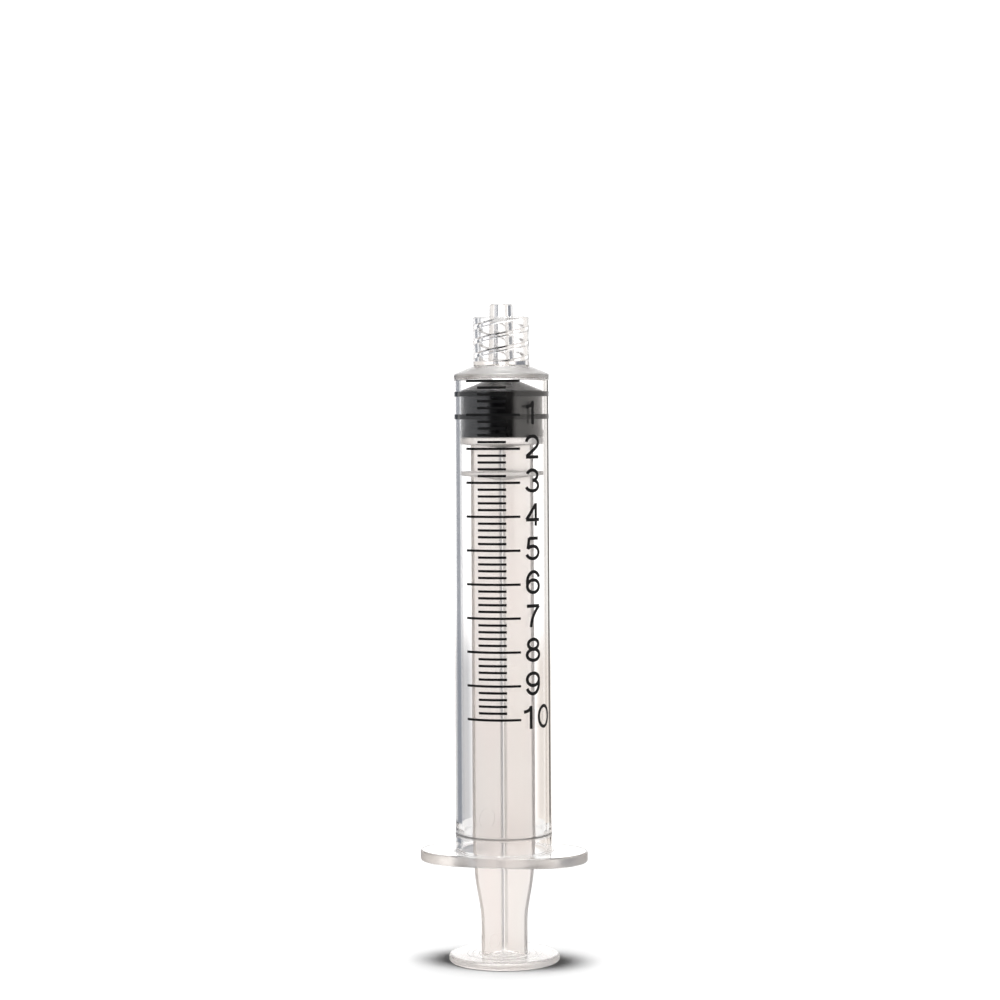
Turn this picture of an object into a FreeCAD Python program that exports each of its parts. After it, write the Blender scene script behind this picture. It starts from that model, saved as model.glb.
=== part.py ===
import FreeCAD, Part
import math
import os

from FreeCAD import Vector

# Three-piece luer lock syringe, in millimetres. It stands on its thumb rest with the tip up:
# +Z runs along the bore, X along the two finger wings, and the scale side of the barrel faces -Y.
# Pieces: barrel (one clear moulding), plunger rod (one clear moulding) and rubber stopper.

# Capacity: the bore sets how far the stopper travels for each millilitre
capacity_ml = 10.0
overfill_ml = 0.86
drawn_ml = 0.3
bore_radius = 7.37
stroke_per_ml = 1000.0 / (math.pi * bore_radius**2)

# Barrel tube, thinner towards the tip for mould draft, closed by a conical end wall
tube_wall_tip = 0.97
tube_wall_foot = 1.12
end_wall = 1.2
end_angle = 22.7
end_rounding = 0.35
zero_to_end = 0.3

# Finger flange: an oval plate across the open end, with nearly round ends
flange_half_length = 14.85
flange_end_inset = 0.7
flange_thickness = 1.85
flange_rim = 0.3
flange_root_fillet = 0.5
flange_land = 0.02

# Open end of the bore: a long ramp to the retaining bead, wider throat below it, lead-in at the mouth
bead_catch = 0.10
bead_ramp = 2.0
bead_step = 0.3
bead_crest_rounding = 0.3
throat_length = 2.79
throat_relief = 0.2
lead_in_height = 1.43
lead_in_spread = 0.6
mouth_rounding = 0.2

# Luer tip: male cone with the standard six per cent taper, and the channel through it
luer_end_radius = 1.985
luer_taper = 0.06
luer_length = 10.0
luer_rim = 0.35
luer_root_fillet = 0.3
lumen_end_radius = 0.80
lumen_base_radius = 1.0
lumen_rim = 0.12

# Lock collar round the tip, with a two-start internal thread
collar_radius = 4.94
collar_below_tip = 2.3
collar_floor_rise = 0.83
collar_rim = 0.2
collar_root_fillet = 0.3
thread_root_radius = 4.0
thread_crest_radius = 3.5
thread_lead = 5.0
thread_starts = 2
thread_root_width = 0.95
thread_crest_width = 0.35
thread_bite = 0.25
thread_mouth_gap = 0.3
thread_lead_in = 0.6
thread_turn = 65.0

# Rubber stopper: two sealing rings, a foot that steadies it and a conical nose
ring_clearance = 0.02
ring_height = 0.96
ring_pitch = 3.95
ring_rounding = 0.2
waist_clearance = 0.21
foot_clearance = 0.06
foot_height = 1.15
stopper_skirt = 8.0
nose_rise = 0.2
nose_base_inset = 0.37
nose_flat_radius = 2.8
nose_angle = 21.6
stopper_rounding = 0.15

# Rod head, held in a pocket of the stopper like a stud in a cap
head_radius = 4.1
head_top_radius = 2.9
head_height = 3.0
neck_radius = 2.3
neck_length = 1.9
head_clearance = 0.06
head_rounding = 0.3

# Plunger rod: four ribs in a cross between the thumb rest and two discs that run in the bore
rod_length = 92.15
rod_turn = -32.0
rib_thickness = 0.85
rib_reach = 7.0
rib_edge = 0.2
rib_root_fillet = 0.3
grip_reach = 5.37
grip_low = 9.0
grip_high = 15.9
grip_rounding = 15.0
disc_clearance = 0.10
disc_rim = 1.15
disc_cone_drop = 0.8
disc_rounding = 0.15
guide_spacing = 5.95
guide_rim = 0.63
guide_cone_rise = 0.45
guide_cone_drop = 1.1

# Thumb rest, slightly domed, with low concentric ridges under it for grip
thumb_radius = 9.72
thumb_thickness = 1.35
thumb_dome = 0.55
thumb_edge = 0.5
grip_groove_depth = 0.2
grip_groove_width = 1.0
grip_groove_pitch = 2.0
grip_groove_slope = 0.15
grip_grooves = 3

# Round marks that the ejector pins of the mould leave on one rib: height, place on it and radius
pin_mark_line = 0.14
pin_mark_relief = 0.05
pin_marks = [(25.7, 4.4, 1.85), (3.8, 2.9, 1.3)]
pin_mark_rib = 3

# Radii and slopes that follow from the values above
end_slope = math.tan(math.radians(end_angle))
nose_slope = math.tan(math.radians(nose_angle))
tube_tip_radius = bore_radius + tube_wall_tip
tube_foot_radius = bore_radius + tube_wall_foot
disc_radius = bore_radius - disc_clearance
bead_radius = disc_radius - bead_catch
throat_radius = bore_radius + throat_relief
mouth_radius = throat_radius + lead_in_spread
flange_root_radius = tube_foot_radius + flange_root_fillet + flange_land
flange_half_width = flange_root_radius + flange_rim
flange_end_radius = flange_half_width - flange_end_inset
luer_base_radius = luer_end_radius + luer_taper / 2 * luer_length

# Heights above the surface that the thumb rest stands on, first those of rod and stopper
guide_top_z = rod_length - guide_spacing
guide_bottom_z = guide_top_z - guide_rim
stopper_z = rod_length + head_clearance
first_ring_z = stopper_z + stopper_skirt - ring_height
nose_z = first_ring_z + ring_height + nose_rise

# Heights of the barrel, which stands where the stopper's front ring reads drawn_ml
zero_line_z = first_ring_z + ring_height + drawn_ml * stroke_per_ml
bore_end_z = zero_line_z + zero_to_end
catch_z = guide_bottom_z - (capacity_ml + overfill_ml - drawn_ml) * stroke_per_ml
bead_crest_z = catch_z - bead_ramp * bead_catch / (bead_catch + disc_clearance)
throat_top_z = bead_crest_z - bead_step
flange_top_z = throat_top_z - throat_length
flange_bottom_z = flange_top_z - flange_thickness
shoulder_z = bore_end_z - tube_wall_tip * end_slope + end_wall / math.cos(math.radians(end_angle))
collar_foot_z = shoulder_z + (tube_tip_radius - collar_radius) * end_slope
collar_floor_z = collar_foot_z + collar_floor_rise
tip_z = collar_floor_z + luer_length
collar_top_z = tip_z - collar_below_tip


def rounded_face(corners):
    """Face in the XZ plane from (x, z, rounding radius) corners, listed in order round it."""
    points = [Vector(x, 0, z) for x, z, _ in corners]
    stretches = []
    for index, (_, _, radius) in enumerate(corners):
        corner = points[index]
        back = (points[index - 1] - corner).normalize()
        ahead = (points[(index + 1) % len(points)] - corner).normalize()
        if radius == 0:
            stretches.append((corner, None, corner))
            continue
        half_angle = back.getAngle(ahead) / 2
        reach = radius / math.tan(half_angle)
        inwards = (back + ahead).normalize()
        middle = corner + inwards * (radius / math.sin(half_angle) - radius)
        stretches.append((corner + back * reach, middle, corner + ahead * reach))
    edges = []
    for index, (start, middle, end) in enumerate(stretches):
        if middle is not None:
            edges.append(Part.Arc(start, middle, end).toShape())
        following = stretches[(index + 1) % len(stretches)][0]
        if end.distanceToPoint(following) > 1e-6:
            edges.append(Part.LineSegment(end, following).toShape())
    return Part.Face(Part.Wire(edges))


def turned(corners):
    """Solid turned about the Z axis from (radius, height, rounding radius) corners."""
    return rounded_face(corners).revolve(Vector(0, 0, 0), Vector(0, 0, 1), 360)


def flange_outline():
    """Oval of two end arcs and two side arcs, each running smoothly into the next."""
    end_centre = flange_half_length - flange_end_radius
    side_radius = (end_centre**2 + flange_half_width**2 - flange_end_radius**2) / (2 * flange_end_inset)
    share = side_radius / (side_radius - flange_end_radius)
    x = end_centre * share
    y = (side_radius - flange_half_width) * (share - 1)
    joints = [(x, -y), (x, y), (-x, y), (-x, -y)]
    length = flange_half_length
    width = flange_half_width
    middles = [(length, 0), (0, width), (-length, 0), (0, -width)]
    arcs = []
    for index, middle in enumerate(middles):
        places = [joints[index], middle, joints[(index + 1) % 4]]
        points = [Vector(place[0], place[1], flange_bottom_z) for place in places]
        arcs.append(Part.Arc(*points).toShape())
    return Part.Wire(arcs)


def flange():
    """Oval finger plate with rounded rims and a hole as wide as the tube."""
    plate = Part.Face(flange_outline()).extrude(Vector(0, 0, flange_thickness))
    rims = [edge for edge in plate.Edges if edge.BoundBox.ZLength < flange_rim]
    plate = plate.makeFillet(flange_rim, rims)
    hole = Part.makeCylinder(tube_foot_radius, flange_thickness, Vector(0, 0, flange_bottom_z))
    return plate.cut(hole)


def thread_ridge(turn):
    """One start of the collar's thread, from inside its floor to just short of its mouth."""
    low_z = collar_floor_z - thread_root_width
    helix = Part.makeHelix(thread_lead, collar_top_z - low_z, thread_root_radius)
    buried_radius = thread_root_radius + thread_bite
    flank = (thread_root_width - thread_crest_width) / (thread_root_radius - thread_crest_radius)
    buried_width = thread_root_width + flank * thread_bite
    section = Part.makePolygon([
        Vector(buried_radius, 0, -buried_width / 2),
        Vector(buried_radius, 0, buried_width / 2),
        Vector(thread_crest_radius, 0, thread_crest_width / 2),
        Vector(thread_crest_radius, 0, -thread_crest_width / 2),
        Vector(buried_radius, 0, -buried_width / 2),
    ])
    ridge = Part.Wire(helix).makePipeShell([section], True, True)
    ridge.rotate(Vector(0, 0, 0), Vector(0, 0, 1), turn)
    ridge.translate(Vector(0, 0, low_z))
    ridge_top_z = collar_top_z - thread_mouth_gap
    outer_radius = buried_radius + thread_bite
    room = turned([
        (0, collar_floor_z - thread_bite, 0),
        (outer_radius, collar_floor_z - thread_bite, 0),
        (outer_radius, ridge_top_z, 0),
        (thread_root_radius, ridge_top_z, 0),
        (thread_crest_radius, ridge_top_z - thread_lead_in, 0),
        (0, ridge_top_z - thread_lead_in, 0),
    ])
    return ridge.common(room)


def barrel():
    """Clear moulding: luer tip, lock collar, conical end, tube, throat and finger flange."""
    body = turned([
        (lumen_end_radius, tip_z, lumen_rim),
        (luer_end_radius, tip_z, luer_rim),
        (luer_base_radius, collar_floor_z, luer_root_fillet),
        (thread_root_radius, collar_floor_z, 0),
        (thread_root_radius, collar_top_z, collar_rim),
        (collar_radius, collar_top_z, collar_rim),
        (collar_radius, collar_foot_z, collar_root_fillet),
        (tube_tip_radius, shoulder_z, end_rounding),
        (tube_foot_radius, flange_top_z, flange_root_fillet),
        (flange_root_radius, flange_top_z, 0),
        (flange_root_radius, flange_bottom_z, 0),
        (mouth_radius, flange_bottom_z, mouth_rounding),
        (throat_radius, flange_bottom_z + lead_in_height, mouth_rounding),
        (throat_radius, throat_top_z, 0),
        (bead_radius, bead_crest_z, bead_crest_rounding),
        (bore_radius, bead_crest_z + bead_ramp, 0),
        (bore_radius, bore_end_z, end_rounding),
        (lumen_base_radius, bore_end_z + (bore_radius - lumen_base_radius) * end_slope, lumen_rim),
    ])
    body = body.fuse(flange()).removeSplitter()
    for start in range(thread_starts):
        body = body.fuse(thread_ridge(thread_turn + start * 360 / thread_starts))
    return body


def ring_corners(bottom_z):
    """Outer corners of one sealing ring, from its lower side up."""
    waist_radius = bore_radius - waist_clearance
    ring_radius = bore_radius - ring_clearance
    return [
        (waist_radius, bottom_z, 0),
        (ring_radius, bottom_z, ring_rounding),
        (ring_radius, bottom_z + ring_height, ring_rounding),
        (waist_radius, bottom_z + ring_height, 0),
    ]


def stopper():
    """Rubber stopper with a pocket that holds the rod's head."""
    waist_radius = bore_radius - waist_clearance
    foot_radius = bore_radius - foot_clearance
    nose_radius = bore_radius - nose_base_inset
    pocket_neck = neck_radius + head_clearance
    pocket_low_z = rod_length + neck_length - head_clearance
    pocket_high_z = rod_length + neck_length + head_height + head_clearance
    corners = [
        (pocket_neck, stopper_z, stopper_rounding),
        (foot_radius, stopper_z, stopper_rounding),
        (foot_radius, stopper_z + foot_height, stopper_rounding),
        (waist_radius, stopper_z + foot_height + foot_clearance, 0),
    ]
    corners += ring_corners(first_ring_z - ring_pitch)
    corners += ring_corners(first_ring_z)
    corners += [
        (waist_radius, nose_z - nose_rise / 2, 0),
        (nose_radius, nose_z, 0),
        (nose_flat_radius, nose_z + (nose_radius - nose_flat_radius) * nose_slope, stopper_rounding),
        (0, nose_z + (nose_radius - nose_flat_radius) * nose_slope, 0),
        (0, pocket_high_z, 0),
        (head_top_radius + head_clearance, pocket_high_z, 0),
        (head_radius + head_clearance, pocket_low_z, 0),
        (pocket_neck, pocket_low_z, 0),
    ]
    return turned(corners)


def cross_corners(reach):
    """Corners of a cross with filleted inner corners, for the core where the ribs meet."""
    half = rib_thickness / 2
    quarter = [(reach, -half, 0), (reach, half, 0), (half, half, rib_root_fillet)]
    corners = []
    for turns in range(4):
        for x, z, radius in quarter:
            for _ in range(turns):
                x, z = -z, x
            corners.append((x, z, radius))
    return corners


def rib_pair():
    """Two opposite ribs as one plate, drawn in above the thumb rest for the fingers."""
    low_z = thumb_thickness / 2
    high_z = rod_length - disc_rim / 2
    side = [
        (grip_reach, low_z, 0),
        (grip_reach, grip_low, grip_rounding),
        (rib_reach, grip_high, grip_rounding),
        (rib_reach, high_z, 0),
    ]
    other_side = [(-x, z, radius) for x, z, radius in reversed(side)]
    plate = rounded_face(side + other_side).extrude(Vector(0, rib_thickness, 0))
    plate.translate(Vector(0, -rib_thickness / 2, 0))
    long_edges = []
    for edge in plate.Edges:
        middle = edge.valueAt((edge.FirstParameter + edge.LastParameter) / 2)
        if abs(middle.x) > grip_reach - rib_edge and edge.BoundBox.ZLength > rib_edge:
            long_edges.append(edge)
    return plate.makeFillet(rib_edge, long_edges)


def rib_core():
    """Middle of the cross, where fillets run into the four ribs."""
    section = rounded_face(cross_corners(rib_thickness / 2 + 2 * rib_root_fillet))
    section.rotate(Vector(0, 0, 0), Vector(1, 0, 0), -90)
    section.translate(Vector(0, 0, thumb_thickness / 2))
    return section.extrude(Vector(0, 0, rod_length - disc_rim / 2 - thumb_thickness / 2))


def front_disc():
    """Disc that pushes the stopper, with a conical web under it."""
    return turned([
        (0, rod_length - disc_rim - disc_cone_drop, 0),
        (disc_radius, rod_length - disc_rim, disc_rounding),
        (disc_radius, rod_length, disc_rounding),
        (0, rod_length, 0),
    ])


def guide_disc():
    """Second disc, which keeps the rod in line and meets the bead when drawn right out."""
    return turned([
        (0, guide_bottom_z - guide_cone_drop, 0),
        (disc_radius, guide_bottom_z, disc_rounding),
        (disc_radius, guide_top_z, disc_rounding),
        (0, guide_top_z + guide_cone_rise, 0),
    ])


def rod_head():
    """Neck and barbed head that the stopper is pressed over."""
    low_z = rod_length + neck_length
    return turned([
        (0, rod_length - disc_rim / 2, 0),
        (neck_radius, rod_length - disc_rim / 2, 0),
        (neck_radius, low_z, 0),
        (head_radius, low_z, head_rounding),
        (head_top_radius, low_z + head_height, head_rounding),
        (0, low_z + head_height, 0),
    ])


def thumb_rest():
    """Domed round plate with concentric grooves between the ridges of its underside."""
    corners = [(0, 0, 0)]
    for groove in range(grip_grooves):
        inner = (groove + 1) * grip_groove_pitch - grip_groove_width / 2
        outer = inner + grip_groove_width
        corners += [
            (inner, 0, 0),
            (inner + grip_groove_slope, grip_groove_depth, 0),
            (outer - grip_groove_slope, grip_groove_depth, 0),
            (outer, 0, 0),
        ]
    corners += [
        (thumb_radius, 0, thumb_edge),
        (thumb_radius, thumb_thickness, thumb_edge),
        (0, thumb_thickness + thumb_dome, 0),
    ]
    return turned(corners)


def pin_mark(height, place, radius):
    """Low ring on the side of the first rib, with its centre at that height and distance out."""
    depth = pin_mark_relief + rib_edge
    start = Vector(place, rib_thickness / 2 - rib_edge, height)
    ring = Part.makeCylinder(radius, depth, start, Vector(0, 1, 0))
    ring = ring.cut(Part.makeCylinder(radius - pin_mark_line, depth, start, Vector(0, 1, 0)))
    return ring.rotate(Vector(0, 0, 0), Vector(0, 0, 1), 90 * pin_mark_rib)


def plunger_rod():
    """Clear moulding: thumb rest, ribbed rod, two discs and the head for the stopper."""
    rod = rib_pair()
    rod = rod.fuse(rib_pair().rotate(Vector(0, 0, 0), Vector(0, 0, 1), 90))
    rod = rod.fuse([rib_core(), front_disc(), guide_disc(), rod_head(), thumb_rest()])
    for height, place, radius in pin_marks:
        rod = rod.fuse(pin_mark(height, place, radius))
    rod = rod.removeSplitter()
    return rod.rotate(Vector(0, 0, 0), Vector(0, 0, 1), rod_turn)


os.makedirs("parts", exist_ok=True)
for name, make in (("barrel", barrel), ("plunger_rod", plunger_rod), ("stopper", stopper)):
    shape = make()
    shape.exportStep(f"parts/{name}.step")
    print(name, "solids", len(shape.Solids), "valid", shape.isValid(), "volume", round(shape.Volume, 2))
print("heights: flange", flange_bottom_z, flange_top_z, "zero", zero_line_z, "tip", tip_z)
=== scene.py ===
import math

import bpy
from bpy.props import FloatProperty, FloatVectorProperty, IntProperty, PointerProperty
from mathutils import Matrix, Vector


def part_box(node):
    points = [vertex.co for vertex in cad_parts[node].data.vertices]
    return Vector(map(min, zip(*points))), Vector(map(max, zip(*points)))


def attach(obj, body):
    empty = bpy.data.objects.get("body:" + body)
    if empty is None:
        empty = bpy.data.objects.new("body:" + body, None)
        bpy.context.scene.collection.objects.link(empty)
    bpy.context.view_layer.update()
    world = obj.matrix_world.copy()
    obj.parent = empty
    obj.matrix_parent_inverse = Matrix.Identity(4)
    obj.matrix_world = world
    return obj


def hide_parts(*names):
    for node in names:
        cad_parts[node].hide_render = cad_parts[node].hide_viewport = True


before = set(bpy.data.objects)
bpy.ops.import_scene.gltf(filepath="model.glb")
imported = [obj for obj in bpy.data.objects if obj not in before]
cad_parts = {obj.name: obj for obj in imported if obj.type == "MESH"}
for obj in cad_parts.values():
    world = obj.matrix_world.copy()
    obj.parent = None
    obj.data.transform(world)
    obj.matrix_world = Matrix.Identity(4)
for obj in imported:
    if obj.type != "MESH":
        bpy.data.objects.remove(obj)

bl_info = {
    "name": "Luer Lock Syringe",
    "version": (1, 0, 0),
    "blender": (4, 5, 0),
    "location": "3D View > Sidebar > Syringe",
    "description": "Finishes a clear syringe: plastics, rubber stopper, printed scale and stage",
    "category": "Object",
}

MM = 0.001
MILLILITRE = 1000 * MM**3
BARREL_LOW, BARREL_HIGH = (Vector(corner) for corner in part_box("barrel"))
STOPPER_LOW, STOPPER_HIGH = (Vector(corner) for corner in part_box("stopper"))

# Heights on the barrel
SHOULDER_BELOW_TIP = 12.25 * MM
FLANGE_THICKNESS = 1.85 * MM
BEAD_ABOVE_FLANGE = 2.79 * MM
SHOULDER_Z = BARREL_HIGH.z - SHOULDER_BELOW_TIP
FLANGE_TOP_Z = BARREL_LOW.z + FLANGE_THICKNESS
BEAD_Z = FLANGE_TOP_Z + BEAD_ABOVE_FLANGE

# Section of the stopper: foot, pocket for the rod's head, sealing rings and nose
FRONT_RING_ABOVE_FOOT = 8.0 * MM
FRONT_RING_Z = STOPPER_LOW.z + FRONT_RING_ABOVE_FOOT
FOOT_GAP = 0.05 * MM
FOOT_HEIGHT = 1.15 * MM
FOOT_SLOPE = 0.15 * MM
FOOT_ROUNDING = 0.15 * MM
POCKET_NECK_RADIUS = 2.36 * MM
POCKET_RADIUS = 4.16 * MM
POCKET_END_RADIUS = 2.96 * MM
POCKET_STEP_ABOVE_FOOT = 1.78 * MM
POCKET_END_ABOVE_FOOT = 4.9 * MM
RING_ROUNDING = 0.12 * MM
WAIST_ROUNDING = 0.08 * MM
NOSE_ABOVE_RING = 0.2 * MM
NOSE_BEVEL = 0.1 * MM
NOSE_RADIUS = 7.0 * MM
NOSE_FLAT_RADIUS = 2.8 * MM
NOSE_ROUNDING = 0.3 * MM

# Thumb rest, whose upper face is more polished than the rest of the rod
THUMB_REST_EDGE_Z = 1.35 * MM
THUMB_REST_TOP_Z = 2.0 * MM
THUMB_REST_POLISH = 0.65

# Matt share of the shoulder against the flange's rim, and of the collar against the shoulder
SHOULDER_MATT = 0.8
COLLAR_MATT = 0.3

# Indices of refraction
CLEAR_IOR = 1.49
MILKY_IOR = 1.36
RUBBER_IOR = 1.5

# Printed marks: points along one, and lift of the sheet off the tube as a share of its thickness
MARK_POINTS = 33
INK_LIFT = 0.2

# Stage: half the floor's width, its height, and the camera's sensor in millimetres
FLOOR_REACH = 2.0
FLOOR_Z = -0.01 * MM
SENSOR_WIDTH = 36.0


class BarrelSettings(bpy.types.PropertyGroup):
    """Sizes and finish of the clear barrel."""

    bore_radius: FloatProperty(
        name="Bore radius", description="Radius of the bore that the stopper runs in",
        default=7.37 * MM, min=MM, unit="LENGTH")
    wall_at_tip: FloatProperty(
        name="Wall at tip", description="Thickness of the tube beside its end wall",
        default=0.97 * MM, min=0.1 * MM, unit="LENGTH")
    wall_at_foot: FloatProperty(
        name="Wall at foot", description="Thickness of the tube beside the finger flange",
        default=1.12 * MM, min=0.1 * MM, unit="LENGTH")
    depth_colour: FloatVectorProperty(
        name="Depth colour", description="Colour that light keeps on its way through thick plastic",
        default=(0.68, 0.58, 0.5), min=0.0, max=1.0, subtype="COLOR")
    depth_density: FloatProperty(
        name="Depth density", description="How fast light takes on the depth colour, per metre",
        default=36.0, min=0.0)
    haze: FloatProperty(
        name="Haze", description="Least roughness of the polished surface",
        default=0.012, min=0.0, max=1.0, subtype="FACTOR")
    matt: FloatProperty(
        name="Matt", description="Roughness of the flange's rim, the bead and the shoulder",
        default=0.34, min=0.0, max=1.0, subtype="FACTOR")


class RodSettings(bpy.types.PropertyGroup):
    """Finish of the slightly milky plunger rod."""

    colour: FloatVectorProperty(
        name="Colour", description="Colour of the milky plastic",
        default=(1.0, 0.956, 0.934), min=0.0, max=1.0, subtype="COLOR")
    clearness: FloatProperty(
        name="Clearness", description="Share of the light that passes through, not scattered",
        default=0.985, min=0.0, max=1.0, subtype="FACTOR")
    depth_colour: FloatVectorProperty(
        name="Depth colour", description="Colour that light keeps on its way through thick plastic",
        default=(0.72, 0.66, 0.6), min=0.0, max=1.0, subtype="COLOR")
    depth_density: FloatProperty(
        name="Depth density", description="How fast light takes on the depth colour, per metre",
        default=12.0, min=0.0)
    haze: FloatProperty(
        name="Haze", description="Roughness of the moulded surface",
        default=0.36, min=0.0, max=1.0, subtype="FACTOR")


class StopperSettings(bpy.types.PropertyGroup):
    """Shape and finish of the rubber stopper."""

    squeeze: FloatProperty(
        name="Squeeze", description="How far the sealing rings press into the wall of the bore",
        default=0.02 * MM, min=0.0, unit="LENGTH")
    waist_gap: FloatProperty(
        name="Waist gap", description="Room between the bore and the rubber behind the rings",
        default=0.21 * MM, min=0.0, unit="LENGTH")
    ring_height: FloatProperty(
        name="Ring height", description="Height of one sealing ring",
        default=0.96 * MM, min=0.1 * MM, unit="LENGTH")
    ring_pitch: FloatProperty(
        name="Ring pitch", description="Distance from one sealing ring to the next",
        default=3.95 * MM, min=MM, unit="LENGTH")
    segments: IntProperty(
        name="Segments", description="Steps round the turned shape",
        default=160, min=24, max=512)
    colour: FloatVectorProperty(
        name="Colour", description="Colour of the rubber",
        default=(0.004, 0.004, 0.0045), min=0.0, max=1.0, subtype="COLOR")


class ScaleSettings(bpy.types.PropertyGroup):
    """Printed scale: marks, numerals and ink."""

    capacity: IntProperty(
        name="Capacity", description="Highest number of the scale, in millilitres",
        default=10, min=1, max=20)
    divisions: IntProperty(
        name="Divisions", description="Marks for each millilitre",
        default=5, min=1, max=10)
    drawn: FloatProperty(
        name="Drawn volume", description="Volume that the front ring reads at rest, in millilitres",
        default=0.3, min=0.0)
    long_mark: FloatProperty(
        name="Long mark", description="Length round the tube of a numbered mark",
        default=10.1 * MM, min=MM, unit="LENGTH")
    short_mark: FloatProperty(
        name="Short mark", description="Length round the tube of the marks between",
        default=5.1 * MM, min=MM, unit="LENGTH")
    line_width: FloatProperty(
        name="Line width", description="Height of a printed line",
        default=0.42 * MM, min=0.05 * MM, unit="LENGTH")
    numeral_height: FloatProperty(
        name="Numeral height", description="Height of the numerals",
        default=4.0 * MM, min=MM, unit="LENGTH")
    numeral_place: FloatProperty(
        name="Numeral place", description="Distance round the tube from the marks' middle to a numeral",
        default=6.0 * MM, min=0.0, unit="LENGTH")
    ink: FloatVectorProperty(
        name="Ink", description="Colour of the ink",
        default=(0.0025, 0.0025, 0.003), min=0.0, max=1.0, subtype="COLOR")
    ink_thickness: FloatProperty(
        name="Ink thickness", description="How far the ink stands off the tube",
        default=0.02 * MM, min=0.001 * MM, unit="LENGTH")


class StageSettings(bpy.types.PropertyGroup):
    """Camera, floor and studio light."""

    lens: FloatProperty(
        name="Focal length", description="Focal length in millimetres, on a 36 mm sensor",
        default=95.87, min=10.0)
    distance: FloatProperty(
        name="Distance", description="Level distance from the camera to the bore's axis",
        default=466.5 * MM, min=0.1, unit="LENGTH")
    height: FloatProperty(
        name="Height", description="Height of the camera over the floor",
        default=97.05 * MM, min=0.0, unit="LENGTH")
    aside: FloatProperty(
        name="Aside", description="How far the camera stands to the right of the axis",
        default=-0.37 * MM, unit="LENGTH")
    yaw: FloatProperty(
        name="Yaw", description="How far the camera stands round from the scale side",
        default=math.radians(12.7), unit="ROTATION")
    pitch: FloatProperty(
        name="Pitch", description="How far the camera looks down",
        default=math.radians(1.95), unit="ROTATION")
    roll: FloatProperty(
        name="Roll", description="How far the camera is turned about its own view",
        default=math.radians(-0.31), unit="ROTATION")
    floor_colour: FloatVectorProperty(
        name="Floor colour", description="Colour of the floor",
        default=(0.9, 0.9, 0.9), min=0.0, max=1.0, subtype="COLOR")
    backdrop: FloatProperty(
        name="Backdrop", description="Brightness of the white backdrop behind the syringe",
        default=1.5, min=0.0)
    top_light: FloatProperty(
        name="Top light", description="Strength of the light overhead, in watts per square metre",
        default=3.9, min=0.0)
    top_spread: FloatProperty(
        name="Top spread", description="Angle across the soft light overhead",
        default=math.radians(27.0), min=0.0, unit="ROTATION")


class Link:
    """A node's output. Python's operators on it add Math nodes to its tree."""

    def __init__(self, graph, made, output=0):
        self.graph = graph
        self.made = made
        self.socket = made.outputs[output]

    def out(self, output):
        """Another output of the same node."""
        return Link(self.graph, self.made, output)

    def math(self, operation, first, second):
        """Adds a Math node with two inputs."""
        return self.graph.node("ShaderNodeMath", {"operation": operation}, {0: first, 1: second})

    def __add__(self, other):
        return self.math("ADD", self, other)

    def __sub__(self, other):
        return self.math("SUBTRACT", self, other)

    def __mul__(self, other):
        return self.math("MULTIPLY", self, other)

    def __truediv__(self, other):
        return self.math("DIVIDE", self, other)

    def __mod__(self, other):
        return self.math("MODULO", self, other)

    def __neg__(self):
        return self.math("MULTIPLY", self, -1.0)


class Graph:
    """Adds nodes to one shader or geometry tree."""

    def __init__(self, tree):
        self.tree = tree

    def node(self, kind, settings=None, inputs=None, output=0):
        """Adds a node, sets its settings first and then its inputs, and gives one output."""
        made = self.tree.nodes.new(kind)
        for name, value in (settings or {}).items():
            setattr(made, name, value)
        for key, value in (inputs or {}).items():
            if isinstance(value, Link):
                self.tree.links.new(value.socket, made.inputs[key])
            else:
                made.inputs[key].default_value = value
        if not made.outputs:
            return None
        return Link(self, made, output)

    def smooth(self, value, low, high, start=0.0, end=1.0):
        """Eases from start to end as a value goes from low to high."""
        return self.node(
            "ShaderNodeMapRange", {"interpolation_type": "SMOOTHSTEP"},
            {"Value": value, "From Min": low, "From Max": high, "To Min": start, "To Max": end})

    def between(self, value, rise, fall, last=0.0):
        """Eases from zero to one over the rise, a pair of values, and to a last value over the fall."""
        return self.smooth(value, *rise) * self.smooth(value, *fall, 1.0, last)

    def height(self):
        """Height on the piece in metres."""
        return self.node("ShaderNodeSeparateXYZ", None, {0: self.place()}, output=2)

    def mix_colours(self, factor, first, second):
        """Blends two colours."""
        return self.node(
            "ShaderNodeMix", {"data_type": "RGBA"}, {0: factor, 6: first, 7: second}, output=2)

    def place(self, scale=(1.0, 1.0, 1.0)):
        """Place on the piece in metres, stretched by a scale."""
        place = self.node("ShaderNodeTexCoord", output="Object")
        return self.node("ShaderNodeMapping", None, {"Vector": place, "Scale": scale})

    def noise(self, scale, detail=2.0, stretch=(1.0, 1.0, 1.0)):
        """Noise whose grains are one part in scale of a metre across."""
        return self.node(
            "ShaderNodeTexNoise", None,
            {"Vector": self.place(stretch), "Scale": scale, "Detail": detail})

    def bump(self, height, strength, distance, normal=None):
        """Surface relief from a height, laid over another relief if there is one."""
        inputs = {"Height": height, "Strength": strength, "Distance": distance}
        if normal is not None:
            inputs["Normal"] = normal
        return self.node("ShaderNodeBump", None, inputs)


def colour(value):
    """Four numbers for a colour socket."""
    return (*value, 1.0)


def span(height, low, high):
    """Two heights, given in millimetres from another height."""
    return height + low * MM, height + high * MM


def new_material(name):
    """A material with an empty graph ready for a surface."""
    material = bpy.data.materials.new(name)
    material.use_nodes = True
    material.node_tree.nodes.clear()
    return material, Graph(material.node_tree)


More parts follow.
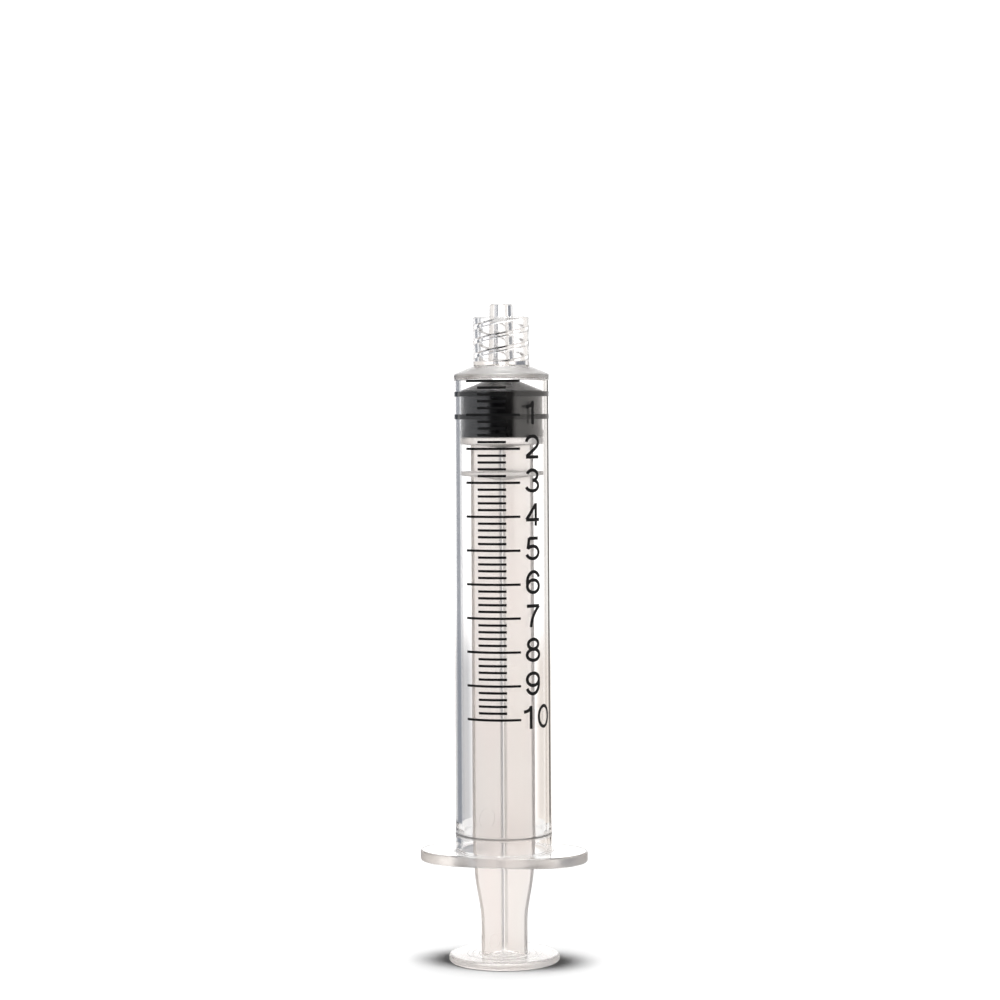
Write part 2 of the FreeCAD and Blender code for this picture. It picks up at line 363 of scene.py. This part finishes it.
def close_surface(graph, inputs, depth=None):
    """Ends a material in one Principled surface, with colour in its depth if settings are given."""
    ends = {"Surface": graph.node("ShaderNodeBsdfPrincipled", None, inputs)}
    if depth is not None:
        ends["Volume"] = graph.node("ShaderNodeVolumeAbsorption", None, {
            "Color": colour(depth.depth_colour), "Density": depth.depth_density})
    graph.node("ShaderNodeOutputMaterial", None, ends)


def clear_plastic(settings):
    """Polished clear moulding with faint flow waves; flange rim, bead and shoulder are matt."""
    material, graph = new_material("clear_plastic")
    waves = graph.noise(260.0, 2.0, stretch=(1.0, 1.0, 0.18))
    specks = graph.noise(2600.0, 1.0)
    haze = graph.smooth(specks, 0.45, 0.8, settings.haze, settings.haze + 0.03)
    height = graph.height()
    rim = graph.between(height, span(BARREL_LOW.z, 0.02, 0.1), span(FLANGE_TOP_Z, -0.1, -0.02))
    bead = graph.between(height, span(BEAD_Z, -0.5, -0.05), span(BEAD_Z, 0.3, 0.8))
    shoulder = graph.between(
        height, span(SHOULDER_Z, -1.0, -0.6), span(SHOULDER_Z, 1.1, 1.5), COLLAR_MATT)
    close_surface(graph, {
        "Base Color": (1.0, 1.0, 1.0, 1.0),
        "Roughness": haze + (rim + shoulder * SHOULDER_MATT + bead) * settings.matt,
        "IOR": CLEAR_IOR,
        "Transmission Weight": 1.0,
        "Normal": graph.bump(waves, 0.2, 0.01 * MM),
    }, settings)
    return material


def milky_plastic(settings):
    """Cloudy, slightly milky plastic with a soft gloss; the thumb rest's upper face is polished."""
    material, graph = new_material("milky_plastic")
    clouds = graph.noise(220.0, 3.0, stretch=(1.0, 1.0, 0.3))
    grain = graph.noise(3200.0, 2.0)
    pale = [min(1.0, channel * 1.02) for channel in settings.colour]
    tint = graph.mix_colours(graph.smooth(clouds, 0.35, 0.65), colour(settings.colour), colour(pale))
    rest = graph.between(
        graph.height(), span(THUMB_REST_EDGE_Z, -0.15, 0.0), span(THUMB_REST_TOP_Z, 0.0, 0.2))
    rough = graph.smooth(grain, 0.3, 0.7, settings.haze - 0.03, settings.haze + 0.05)
    relief = graph.bump(grain, 0.15, 0.006 * MM)
    close_surface(graph, {
        "Base Color": tint,
        "Roughness": rough - rest * (THUMB_REST_POLISH * settings.haze),
        "IOR": MILKY_IOR,
        "Transmission Weight": settings.clearness,
        "Normal": graph.bump(clouds, 0.2, 0.02 * MM, relief),
    }, settings)
    return material


def black_rubber(settings):
    """Smooth black rubber with a film of oil: fine grain, wiped streaks and a soft gloss."""
    material, graph = new_material("black_rubber")
    grain = graph.noise(2400.0, 3.0)
    film = graph.noise(420.0, 2.0, stretch=(1.0, 1.0, 2.2))
    worn = [channel * 1.6 for channel in settings.colour]
    tone = graph.mix_colours(graph.smooth(grain, 0.4, 0.75), colour(settings.colour), colour(worn))
    rough = graph.smooth(film, 0.35, 0.65, 0.16, 0.24)
    close_surface(graph, {
        "Base Color": tone,
        "Roughness": rough,
        "IOR": RUBBER_IOR,
        "Normal": graph.bump(grain, 0.1, 0.004 * MM),
    })
    return material


def black_ink(settings):
    """Screen-printed ink: nearly black, a little uneven, half glossy."""
    material, graph = new_material("black_ink")
    patches = graph.noise(1800.0, 3.0)
    thin = [channel * 2.5 for channel in settings.ink]
    tone = graph.mix_colours(graph.smooth(patches, 0.5, 0.8), colour(settings.ink), colour(thin))
    rough = graph.smooth(patches, 0.3, 0.7, 0.45, 0.6)
    close_surface(graph, {
        "Base Color": tone,
        "Roughness": rough,
        "Specular IOR Level": 0.2,
        "Normal": graph.bump(patches, 0.3, 0.004 * MM),
    })
    return material


def finish_node(name, material):
    """Gives one carried-over piece its material."""
    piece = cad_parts[name]
    piece.data.materials.clear()
    piece.data.materials.append(material)
    for polygon in piece.data.polygons:
        polygon.material_index = 0


def new_tree(name, sockets):
    """A geometry tree with named inputs: (name, socket type) pairs after the geometry."""
    tree = bpy.data.node_groups.new(name, "GeometryNodeTree")
    tree.interface.new_socket("Geometry", in_out="INPUT", socket_type="NodeSocketGeometry")
    tree.interface.new_socket("Geometry", in_out="OUTPUT", socket_type="NodeSocketGeometry")
    for label, kind in sockets:
        tree.interface.new_socket(label, in_out="INPUT", socket_type=kind)
    graph = Graph(tree)
    return tree, graph, graph.node("NodeGroupInput")


def close_tree(graph, geometry, material):
    """Ends a geometry tree in real geometry with its material."""
    geometry = graph.node("GeometryNodeRealizeInstances", None, {0: geometry})
    geometry = graph.node("GeometryNodeSetMaterial", None, {"Geometry": geometry, "Material": material})
    graph.node("NodeGroupOutput", None, {0: geometry})


def run_tree(name, mesh, tree, values):
    """Runs a geometry tree on a mesh and gives a plain mesh object of the result."""
    seed = bpy.data.objects.new(name + "_seed", mesh)
    bpy.context.collection.objects.link(seed)
    modifier = seed.modifiers.new(tree.name, "NODES")
    modifier.node_group = tree
    for item in tree.interface.items_tree:
        if item.in_out == "INPUT" and item.name in values:
            modifier[item.identifier] = values[item.name]
    bpy.context.view_layer.update()
    evaluated = seed.evaluated_get(bpy.context.evaluated_depsgraph_get())
    result = bpy.data.meshes.new_from_object(evaluated)
    result.name = name
    seed.modifiers.clear()
    bpy.data.objects.remove(seed)
    if not result.polygons:
        raise RuntimeError(f"the tree {tree.name} gave no faces for {name}")
    piece = bpy.data.objects.new(name, result)
    bpy.context.collection.objects.link(piece)
    return piece


def turned_tree():
    """Turns a profile, whose points hold radius in X and height in Z, about the Z axis."""
    tree, graph, given = new_tree("Turned Shape", [
        ("Segments", "NodeSocketInt"),
        ("Weld", "NodeSocketFloat"),
        ("Material", "NodeSocketMaterial"),
    ])
    profile = given.out("Geometry")
    count = graph.node("GeometryNodeAttributeDomainSize", None, {"Geometry": profile})
    columns = given.out("Segments") + 1
    sheet = graph.node("GeometryNodeMeshGrid", None, {"Vertices X": count, "Vertices Y": columns})
    index = graph.node("GeometryNodeInputIndex")
    row = graph.node("ShaderNodeMath", {"operation": "FLOOR"}, {0: (index + 0.5) / columns})
    angle = (index - row * columns) * (2 * math.pi) / given.out("Segments")
    position = graph.node("GeometryNodeInputPosition")
    point = graph.node(
        "GeometryNodeSampleIndex", {"data_type": "FLOAT_VECTOR", "domain": "POINT"},
        {"Geometry": profile, "Value": position, "Index": row})
    parts = graph.node("ShaderNodeSeparateXYZ", None, {0: point})
    across = graph.node("ShaderNodeMath", {"operation": "COSINE"}, {0: angle})
    along = graph.node("ShaderNodeMath", {"operation": "SINE"}, {0: angle})
    around = graph.node("ShaderNodeCombineXYZ", None, {
        "X": parts.out("X") * across,
        "Y": parts.out("X") * along,
        "Z": parts.out("Z"),
    })
    turned = graph.node("GeometryNodeSetPosition", None, {"Geometry": sheet, "Position": around})
    welded = graph.node(
        "GeometryNodeMergeByDistance", None, {"Geometry": turned, "Distance": given.out("Weld")})
    smooth = graph.node("GeometryNodeSetShadeSmooth", None, {"Geometry": welded})
    close_tree(graph, smooth, given.out("Material"))
    return tree


def scale_tree():
    """Prints a scale on a tapered tube: marks are added to flat numerals, and both are bent."""
    tree, graph, given = new_tree("Scale Print", [
        ("Marks", "NodeSocketInt"),
        ("Long Every", "NodeSocketInt"),
        ("Spacing", "NodeSocketFloat"),
        ("Zero Height", "NodeSocketFloat"),
        ("Long Mark", "NodeSocketFloat"),
        ("Short Mark", "NodeSocketFloat"),
        ("Line Width", "NodeSocketFloat"),
        ("Foot Radius", "NodeSocketFloat"),
        ("Foot Height", "NodeSocketFloat"),
        ("Tip Radius", "NodeSocketFloat"),
        ("Tip Height", "NodeSocketFloat"),
        ("Ink Thickness", "NodeSocketFloat"),
        ("Material", "NodeSocketMaterial"),
    ])
    start = graph.node("ShaderNodeCombineXYZ", None, {"Z": given.out("Zero Height")})
    step = graph.node("ShaderNodeCombineXYZ", None, {"Z": -given.out("Spacing")})
    rows = graph.node("GeometryNodeMeshLine", None, {
        "Count": given.out("Marks"), "Start Location": start, "Offset": step})
    strip = graph.node("GeometryNodeMeshGrid", None, {
        "Size X": 1.0, "Size Y": 1.0, "Vertices X": MARK_POINTS, "Vertices Y": 2})
    strip = graph.node("GeometryNodeTransform", None, {
        "Geometry": strip, "Rotation": (math.pi / 2, 0.0, 0.0)})
    index = graph.node("GeometryNodeInputIndex")
    is_long = graph.node("ShaderNodeMath", {"operation": "LESS_THAN"}, {
        0: index % given.out("Long Every"), 1: 0.5})
    short = given.out("Short Mark")
    length = short + (given.out("Long Mark") - short) * is_long
    size = graph.node("ShaderNodeCombineXYZ", None, {
        "X": length, "Y": 1.0, "Z": given.out("Line Width")})
    marks = graph.node("GeometryNodeInstanceOnPoints", None, {
        "Points": rows, "Instance": strip, "Scale": size})
    marks = graph.node("GeometryNodeRealizeInstances", None, {0: marks})
    flat = graph.node("GeometryNodeJoinGeometry", None, {0: marks})
    graph.tree.links.new(given.out("Geometry").socket, flat.made.inputs[0])
    parts = graph.node("ShaderNodeSeparateXYZ", None, {0: graph.node("GeometryNodeInputPosition")})
    height = parts.out("Z")
    rise = given.out("Tip Height") - given.out("Foot Height")
    share = (height - given.out("Foot Height")) / rise
    taper = (given.out("Tip Radius") - given.out("Foot Radius")) * share
    radius = given.out("Foot Radius") + taper + given.out("Ink Thickness") * INK_LIFT
    angle = parts.out("X") / radius
    across = graph.node("ShaderNodeMath", {"operation": "SINE"}, {0: angle})
    outward = -graph.node("ShaderNodeMath", {"operation": "COSINE"}, {0: angle})
    around = graph.node("ShaderNodeCombineXYZ", None, {
        "X": across * radius, "Y": outward * radius, "Z": height})
    bent = graph.node("GeometryNodeSetPosition", None, {"Geometry": flat, "Position": around})
    normal = graph.node("GeometryNodeInputNormal")
    raised = graph.node("GeometryNodeExtrudeMesh", None, {
        "Mesh": bent,
        "Offset": normal,
        "Offset Scale": given.out("Ink Thickness"),
        "Individual": False,
    })
    under = graph.node("GeometryNodeFlipFaces", None, {0: bent})
    body = graph.node("GeometryNodeJoinGeometry", None, {0: raised})
    graph.tree.links.new(under.socket, body.made.inputs[0])
    close_tree(graph, body, given.out("Material"))
    return tree


def profile_points(corners, steps=5, guard=1.2):
    """Points of a profile from (radius, height, rounding) corners, with a guard beside each round."""
    points = []
    for index, (radius, height, rounding) in enumerate(corners):
        corner = Vector((radius, 0.0, height))
        if rounding == 0.0:
            points.append(corner)
            continue
        back = (Vector((corners[index - 1][0], 0.0, corners[index - 1][1])) - corner).normalized()
        ahead = (Vector((corners[index + 1][0], 0.0, corners[index + 1][1])) - corner).normalized()
        half = back.angle(ahead) / 2
        reach = rounding / math.tan(half)
        centre = corner + (back + ahead).normalized() * (rounding / math.sin(half))
        start = corner + back * reach - centre
        end = corner + ahead * reach - centre
        points.append(corner + back * reach * guard)
        for step in range(steps + 1):
            points.append(centre + start.slerp(end, step / steps) * rounding)
        points.append(corner + ahead * reach * guard)
    return points


def stopper_corners(stopper, bore_radius):
    """Corners of the stopper's section, from the end of its pocket round to the tip of its nose."""
    foot_radius = bore_radius - FOOT_GAP
    waist = bore_radius - stopper.waist_gap
    ring = bore_radius + stopper.squeeze
    low = STOPPER_LOW.z
    foot_top = low + FOOT_HEIGHT
    pocket_step = low + POCKET_STEP_ABOVE_FOOT
    pocket_end = low + POCKET_END_ABOVE_FOOT
    nose_low = FRONT_RING_Z + NOSE_ABOVE_RING
    corners = [
        (0.0, pocket_end, 0.0),
        (POCKET_END_RADIUS, pocket_end, 0.0),
        (POCKET_RADIUS, pocket_step, 0.0),
        (POCKET_NECK_RADIUS, pocket_step, 0.0),
        (POCKET_NECK_RADIUS, low, FOOT_ROUNDING),
        (foot_radius, low, FOOT_ROUNDING),
        (foot_radius, foot_top, FOOT_ROUNDING),
        (waist, foot_top + FOOT_SLOPE, WAIST_ROUNDING),
    ]
    for ring_top in (FRONT_RING_Z - stopper.ring_pitch, FRONT_RING_Z):
        corners += [
            (waist, ring_top - stopper.ring_height, WAIST_ROUNDING),
            (ring, ring_top - stopper.ring_height, RING_ROUNDING),
            (ring, ring_top, RING_ROUNDING),
            (waist, ring_top, 0.5 * RING_ROUNDING),
        ]
    corners += [
        (waist, nose_low - NOSE_BEVEL, 0.0),
        (NOSE_RADIUS, nose_low, NOSE_BEVEL),
        (NOSE_FLAT_RADIUS, STOPPER_HIGH.z, NOSE_ROUNDING),
        (0.0, STOPPER_HIGH.z, 0.0),
    ]
    return corners


def profile_mesh(name, points):
    """A chain of points joined by edges, as a mesh."""
    mesh = bpy.data.meshes.new(name)
    mesh.from_pydata(points, [(i, i + 1) for i in range(len(points) - 1)], [])
    return mesh


# Numerals drawn with a pen in a box one high: (centre x, centre y, reach x, reach y, from, to)
# for a stretch of an ellipse in degrees, and (x, y, x, y) for a straight stroke
NUMERALS = {
    "0": [(0.33, 0.5, 0.28, 0.45, 0, 360)],
    "1": [(0.34, 0.0, 0.34, 1.0), (0.04, 1.0, 0.3, 0.25, 270, 345)],
    "2": [(0.33, 0.68, 0.27, 0.27, 175, -42), (0.531, 0.499, 0.06, 0.08), (0.04, 0.05, 0.62, 0.05)],
    "3": [(0.32, 0.73, 0.24, 0.22, 165, -90), (0.32, 0.28, 0.28, 0.23, 90, -165)],
    "4": [(0.46, 0.94, 0.05, 0.28), (0.03, 0.27, 0.64, 0.27), (0.47, 0.0, 0.47, 0.98)],
    "5": [(0.15, 0.93, 0.57, 0.93), (0.16, 0.95, 0.105, 0.47), (0.32, 0.32, 0.28, 0.27, 142, -162)],
    "6": [(0.34, 0.32, 0.27, 0.27, 0, 360), (0.36, 0.5, 0.29, 0.45, 195, 28)],
    "7": [(0.05, 0.93, 0.62, 0.93), (1.2, -0.1, 0.98, 1.28, 175, 126.5)],
    "8": [(0.33, 0.74, 0.23, 0.21, 0, 360), (0.33, 0.28, 0.28, 0.24, 0, 360)],
    "9": [(0.32, 0.68, 0.27, 0.27, 0, 360), (0.3, 0.5, 0.29, 0.45, 15, -152)],
}
NUMERAL_PEN = 0.145
NUMERAL_BREADTH = 1.2
NUMERAL_ADVANCE = 0.8
NUMERAL_SHIFT = 0.16
NUMERAL_RAISE = 0.35 * MM
STROKE_STEP = 0.05
ARC_STEP = 9
CLOSED_WITHIN = 1e-6


def stroke_points(stroke):
    """Points along the middle of one pen stroke, close enough together to bend round the tube."""
    if len(stroke) == 4:
        start = Vector(stroke[:2])
        end = Vector(stroke[2:])
        steps = max(2, math.ceil((end - start).length / STROKE_STEP))
        return [start.lerp(end, step / steps) for step in range(steps + 1)]
    centre_x, centre_y, reach_x, reach_y, first, last = stroke
    steps = max(6, math.ceil(abs(last - first) / ARC_STEP))
    points = []
    for step in range(steps + 1):
        angle = math.radians(first + (last - first) * step / steps)
        across = centre_x + reach_x * math.cos(angle)
        points.append(Vector((across, centre_y + reach_y * math.sin(angle))))
    return points


def add_stroke(vertices, faces, points, left, low, size):
    """Adds one stroke to a flat drawing as a band as wide as the pen."""
    first = len(vertices)
    points = [Vector((point.x * NUMERAL_BREADTH, point.y)) for point in points]
    closed = (points[0] - points[-1]).length < CLOSED_WITHIN
    for index, point in enumerate(points):
        before = points[max(0, index - 1)]
        after = points[min(len(points) - 1, index + 1)]
        if closed and index in (0, len(points) - 1):
            before, after = points[-2], points[1]
        along = (after - before).normalized()
        side = Vector((-along.y, along.x)) * NUMERAL_PEN / 2
        for edge in (point + side, point, point - side):
            vertices.append((left + edge.x * size, 0.0, low + edge.y * size))
    for index in range(len(points) - 1):
        for lane in range(2):
            corner = first + index * 3 + lane
            faces.append((corner, corner + 1, corner + 4, corner + 3))


def flat_numerals(scale, spacing, zero_height):
    """Flat drawing of the numerals, with distance round the tube in X and height in Z."""
    vertices = []
    faces = []
    size = scale.numeral_height
    for number in range(1, scale.capacity + 1):
        text = str(number)
        shift = NUMERAL_SHIFT * (len(text) - 1)
        low = zero_height - number * spacing - size / 2 + NUMERAL_RAISE
        for place, character in enumerate(text):
            left = scale.numeral_place + (place * NUMERAL_ADVANCE - shift) * size
            for stroke in NUMERALS[character]:
                add_stroke(vertices, faces, stroke_points(stroke), left, low, size)
    mesh = bpy.data.meshes.new("flat_numerals")
    mesh.from_pydata(vertices, [], faces)
    return mesh


class SYRINGE_OT_barrel(bpy.types.Operator):
    """Finish the barrel in clear plastic"""

    bl_idname = "syringe.barrel"
    bl_label = "Barrel"

    def execute(self, context):
        finish_node("barrel", clear_plastic(context.scene.syringe_barrel))
        return {"FINISHED"}


class SYRINGE_OT_plunger_rod(bpy.types.Operator):
    """Finish the plunger rod in slightly milky plastic"""

    bl_idname = "syringe.plunger_rod"
    bl_label = "Plunger Rod"

    def execute(self, context):
        finish_node("plunger_rod", milky_plastic(context.scene.syringe_rod))
        return {"FINISHED"}


class SYRINGE_OT_stopper(bpy.types.Operator):
    """Turn the rubber stopper, with its sealing rings pressed against the bore"""

    bl_idname = "syringe.stopper"
    bl_label = "Stopper"

    def execute(self, context):
        stopper = context.scene.syringe_stopper
        corners = stopper_corners(stopper, context.scene.syringe_barrel.bore_radius)
        profile = profile_mesh("stopper_profile", profile_points(corners))
        piece = run_tree("rubber_stopper", profile, turned_tree(), {
            "Segments": stopper.segments,
            "Weld": 0.001 * MM,
            "Material": black_rubber(stopper),
        })
        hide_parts("stopper")
        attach(piece, "stopper")
        return {"FINISHED"}


class SYRINGE_OT_scale(bpy.types.Operator):
    """Print the marks and numerals on the barrel"""

    bl_idname = "syringe.scale"
    bl_label = "Printed Scale"

    def execute(self, context):
        scale = context.scene.syringe_scale
        barrel = context.scene.syringe_barrel
        spacing = MILLILITRE / (math.pi * barrel.bore_radius**2)
        zero_height = FRONT_RING_Z + scale.drawn * spacing
        numerals = flat_numerals(scale, spacing, zero_height)
        piece = run_tree("printed_scale", numerals, scale_tree(), {
            "Marks": scale.capacity * scale.divisions + 1,
            "Long Every": scale.divisions,
            "Spacing": spacing / scale.divisions,
            "Zero Height": zero_height,
            "Long Mark": scale.long_mark,
            "Short Mark": scale.short_mark,
            "Line Width": scale.line_width,
            "Foot Radius": barrel.bore_radius + barrel.wall_at_foot,
            "Foot Height": FLANGE_TOP_Z,
            "Tip Radius": barrel.bore_radius + barrel.wall_at_tip,
            "Tip Height": SHOULDER_Z,
            "Ink Thickness": scale.ink_thickness,
            "Material": black_ink(scale),
        })
        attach(piece, "barrel")
        return {"FINISHED"}


# Screens round the syringe, each laid over the ones before it: its colour, then its edges. An
# edge (direction, from, to) eases in, and one with 1.0, 0.0 behind it eases out. Directions are
# degrees as the camera sees them: left and right of the middle, aside for both, up and down.
SCREENS = {
    "panel": ((0.96, 0.93, 0.9), [("right", 18.0, 34.0)]),
    "wing": ((0.62, 0.63, 0.66), [("left", 48.0, 66.0)]),
    "low_left": ((0.6, 0.61, 0.63), [("down", 4.3, 5.8), ("left", 2.0, 12.0)]),
    "low_right": ((0.9, 0.83, 0.77), [("down", 4.3, 5.8), ("right", 4.0, 14.0)]),
    "flag": ((0.23, 0.25, 0.29), [("left", 16.0, 24.0), ("left", 42.0, 54.0, 1.0, 0.0)]),
    "front": ((0.01, 0.01, 0.012), [("aside", 140.0, 156.0), ("down", 2.4, 4.0, 1.0, 0.0)]),
    "wall": ((0.42, 0.4, 0.39), [("up", 16.0, 28.0)]),
    "ceiling": ((1.2, 1.2, 1.2), [("up", 36.0, 46.0)]),
    "ground": ((1.05, 1.05, 1.05), [("down", 11.5, 14.0)]),
}

# Brightness of the surroundings for light that matt surfaces scatter, and as the camera sees them
SCATTERED = 0.07
SEEN = 1.1


def view_angles(graph, yaw):
    """Direction of a ray as the camera sees it, in degrees, for a world's graph."""
    direction = graph.node("ShaderNodeTexCoord", output="Generated")
    turned = graph.node(
        "ShaderNodeVectorRotate", {"rotation_type": "Z_AXIS"}, {"Vector": direction, "Angle": -yaw})
    parts = graph.node("ShaderNodeSeparateXYZ", None, {0: turned})
    around = graph.node(
        "ShaderNodeMath", {"operation": "ARCTAN2"}, {0: parts.out("X"), 1: parts.out("Y")})
    over = graph.node("ShaderNodeMath", {"operation": "ARCSINE"}, {0: parts.out("Z")})
    right = around * math.degrees(1)
    up = over * math.degrees(1)
    aside = graph.node("ShaderNodeMath", {"operation": "ABSOLUTE"}, {0: right})
    return {"right": right, "left": -right, "aside": aside, "up": up, "down": -up}


def screen_share(graph, angles, edges):
    """Share of one screen in the light from each direction."""
    eased = [graph.smooth(angles[direction], *numbers) for direction, *numbers in edges]
    share = eased[0]
    for edge in eased[1:]:
        share = share * edge
    return share


def studio_world(stage):
    """Surroundings: a white backdrop all round, with screens and a dark flag beside it."""
    world = bpy.data.worlds.new("studio")
    world.use_nodes = True
    world.node_tree.nodes.clear()
    graph = Graph(world.node_tree)
    angles = view_angles(graph, stage.yaw)
    shade = colour((stage.backdrop,) * 3)
    for tone, edges in SCREENS.values():
        shade = graph.mix_colours(screen_share(graph, angles, edges), shade, colour(tone))
    light_path = graph.node("ShaderNodeLightPath")
    for ray, brightness in {"Is Diffuse Ray": SCATTERED, "Is Camera Ray": SEEN}.items():
        shade = graph.mix_colours(light_path.out(ray), shade, colour((brightness,) * 3))
    light = graph.node("ShaderNodeBackground", None, {"Color": shade, "Strength": 1.0})
    graph.node("ShaderNodeOutputWorld", None, {"Surface": light})
    return world


def floor_material(stage):
    """Matt white floor with the faintest mottling."""
    material, graph = new_material("studio_floor")
    mottle = graph.noise(14.0, 3.0)
    dim = [channel * 0.985 for channel in stage.floor_colour]
    tone = graph.mix_colours(graph.smooth(mottle, 0.3, 0.7), colour(stage.floor_colour), colour(dim))
    close_surface(graph, {"Base Color": tone, "Roughness": 0.7, "Specular IOR Level": 0.2})
    return material


def add_floor(stage):
    """Wide flat floor just under the thumb rest."""
    mesh = bpy.data.meshes.new("floor")
    sides = ((-1, -1), (1, -1), (1, 1), (-1, 1))
    corners = [(FLOOR_REACH * x, FLOOR_REACH * y, FLOOR_Z) for x, y in sides]
    mesh.from_pydata(corners, [], [(0, 1, 2, 3)])
    floor = bpy.data.objects.new("floor", mesh)
    bpy.context.collection.objects.link(floor)
    mesh.materials.append(floor_material(stage))
    floor.visible_transmission = False
    floor.visible_glossy = False


def add_camera(stage):
    """Camera at the photograph's place, with its slight roll."""
    data = bpy.data.cameras.new("camera")
    data.lens = stage.lens
    data.sensor_width = SENSOR_WIDTH
    data.clip_start = 0.01
    data.clip_end = 50.0
    camera = bpy.data.objects.new("camera", data)
    bpy.context.collection.objects.link(camera)
    around = Matrix.Rotation(stage.yaw, 4, "Z")
    place = around @ Matrix.Translation((stage.aside, -stage.distance, stage.height))
    tilt = Matrix.Rotation(math.pi / 2 - stage.pitch, 4, "X")
    camera.matrix_world = place @ tilt @ Matrix.Rotation(stage.roll, 4, "Z")
    bpy.context.scene.camera = camera


def add_top_light(stage):
    """Wide soft light straight overhead, even over the whole floor."""
    data = bpy.data.lights.new("top_softbox", "SUN")
    data.energy = stage.top_light
    data.angle = stage.top_spread
    light = bpy.data.objects.new("top_softbox", data)
    light.location = (0.0, 0.0, 0.6)
    bpy.context.collection.objects.link(light)


class SYRINGE_OT_stage(bpy.types.Operator):
    """Set up the floor, the studio light and the camera"""

    bl_idname = "syringe.stage"
    bl_label = "Stage"

    def execute(self, context):
        stage = context.scene.syringe_stage
        scene = context.scene
        scene.world = studio_world(stage)
        add_floor(stage)
        add_top_light(stage)
        add_camera(stage)
        scene.view_settings.view_transform = "Standard"
        scene.cycles.max_bounces = 32
        scene.cycles.transmission_bounces = 32
        scene.cycles.glossy_bounces = 12
        scene.cycles.diffuse_bounces = 6
        scene.cycles.caustics_refractive = False
        return {"FINISHED"}


OPERATORS = (
    SYRINGE_OT_stage,
    SYRINGE_OT_barrel,
    SYRINGE_OT_plunger_rod,
    SYRINGE_OT_stopper,
    SYRINGE_OT_scale,
)
SETTINGS = {
    "syringe_barrel": BarrelSettings,
    "syringe_rod": RodSettings,
    "syringe_stopper": StopperSettings,
    "syringe_scale": ScaleSettings,
    "syringe_stage": StageSettings,
}


class SYRINGE_PT_pieces(bpy.types.Panel):
    """Lists the settings and the operators of the syringe"""

    bl_idname = "SYRINGE_PT_pieces"
    bl_label = "Syringe"
    bl_space_type = "VIEW_3D"
    bl_region_type = "UI"
    bl_category = "Syringe"

    def draw(self, context):
        for name, group in SETTINGS.items():
            box = self.layout.box()
            settings = getattr(context.scene, name)
            for label in group.__annotations__:
                box.prop(settings, label)
        for operator in OPERATORS:
            self.layout.operator(operator.bl_idname)


def register():
    """Adds the settings, the operators and the panel."""
    for group in SETTINGS.values():
        bpy.utils.register_class(group)
    for operator in OPERATORS:
        bpy.utils.register_class(operator)
    bpy.utils.register_class(SYRINGE_PT_pieces)
    for name, group in SETTINGS.items():
        setattr(bpy.types.Scene, name, PointerProperty(type=group))


def unregister():
    """Takes everything away again, in the opposite order."""
    for name in SETTINGS:
        delattr(bpy.types.Scene, name)
    bpy.utils.unregister_class(SYRINGE_PT_pieces)
    for operator in reversed(OPERATORS):
        bpy.utils.unregister_class(operator)
    for group in reversed(SETTINGS.values()):
        bpy.utils.unregister_class(group)


def main():
    """Builds everything in order."""
    register()
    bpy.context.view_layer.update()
    bpy.ops.syringe.stage()
    bpy.ops.syringe.barrel()
    bpy.ops.syringe.plunger_rod()
    bpy.ops.syringe.stopper()
    bpy.ops.syringe.scale()


if __name__ == "__main__":
    main()
